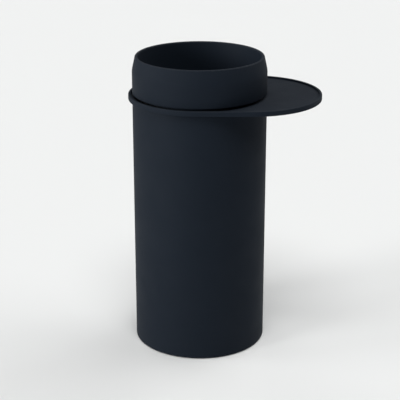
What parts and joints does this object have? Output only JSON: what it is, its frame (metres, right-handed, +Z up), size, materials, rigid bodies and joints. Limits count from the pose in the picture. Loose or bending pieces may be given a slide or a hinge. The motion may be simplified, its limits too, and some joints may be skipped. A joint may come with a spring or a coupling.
{
  "type": "ashtray bin",
  "caption": "Round free-standing litter bin with a swivelling ash tray that overhangs to one side, a lift-off head ring and a lift-out liner bucket with a bail handle.",
  "frame": {"origin": "on the axis of the round body, at the floor face under the pad", "axes": "+Z up along the body's axis, +X towards the overhanging end of the ash tray"},
  "size_m": [0.431, 0.318, 0.67],
  "materials": {
    "powder_coat": "satin anthracite powder coat on sheet steel",
    "zinc_steel": "bright zinc plate",
    "galvanised_steel": "hot-dip galvanised, dull spangle",
    "black_rubber": "moulded matt",
    "black_plastic": "moulded matt",
    "concrete": "cast concrete"
  },
  "bodies": {
    "bin_body": {"body_shell": "powder_coat", "base_plate": "zinc_steel", "base_screw_1": "zinc_steel", "base_screw_2": "zinc_steel", "base_screw_3": "zinc_steel", "base_screw_4": "zinc_steel", "floor_pad": "black_rubber", "ballast_block": "concrete", "ballast_washer": "zinc_steel", "ballast_nut": "zinc_steel", "neck_ring": "powder_coat", "neck_screw_1": "zinc_steel", "neck_screw_2": "zinc_steel", "neck_screw_3": "zinc_steel", "neck_screw_4": "zinc_steel", "neck_nut_1": "zinc_steel", "neck_nut_2": "zinc_steel", "neck_nut_3": "zinc_steel", "neck_nut_4": "zinc_steel", "swivel_bush": "black_plastic", "head_seal": "black_rubber"},
    "tray": {"ash_tray": "powder_coat"},
    "head": {"head_ring": "powder_coat"},
    "liner": {"liner_bucket": "galvanised_steel", "handle_ear_1": "galvanised_steel", "handle_ear_2": "galvanised_steel", "ear_rivet_1": "zinc_steel", "ear_rivet_2": "zinc_steel", "ear_rivet_3": "zinc_steel", "ear_rivet_4": "zinc_steel"},
    "bail": {"liner_handle": "zinc_steel", "handle_grip": "black_plastic"}
  },
  "joints": [
    {"name": "tray_swivel", "type": "hinge", "parent": "bin_body", "child": "tray", "pos_m": [0, 0, 0.578], "axis": [0, 0, 1], "continuous": true},
    {"name": "head_lift", "type": "slide", "parent": "bin_body", "child": "head", "axis": [0, 0, 1], "range_m": [0, 0.3]},
    {"name": "liner_lift", "type": "slide", "parent": "bin_body", "child": "liner", "axis": [0, 0, 1], "range_m": [0, 0.62]},
    {"name": "bail_swing", "type": "hinge", "parent": "liner", "child": "bail", "pos_m": [0, 0, 0.588], "axis": [0, 1, 0], "range_deg": [0, 180]}
  ]
}
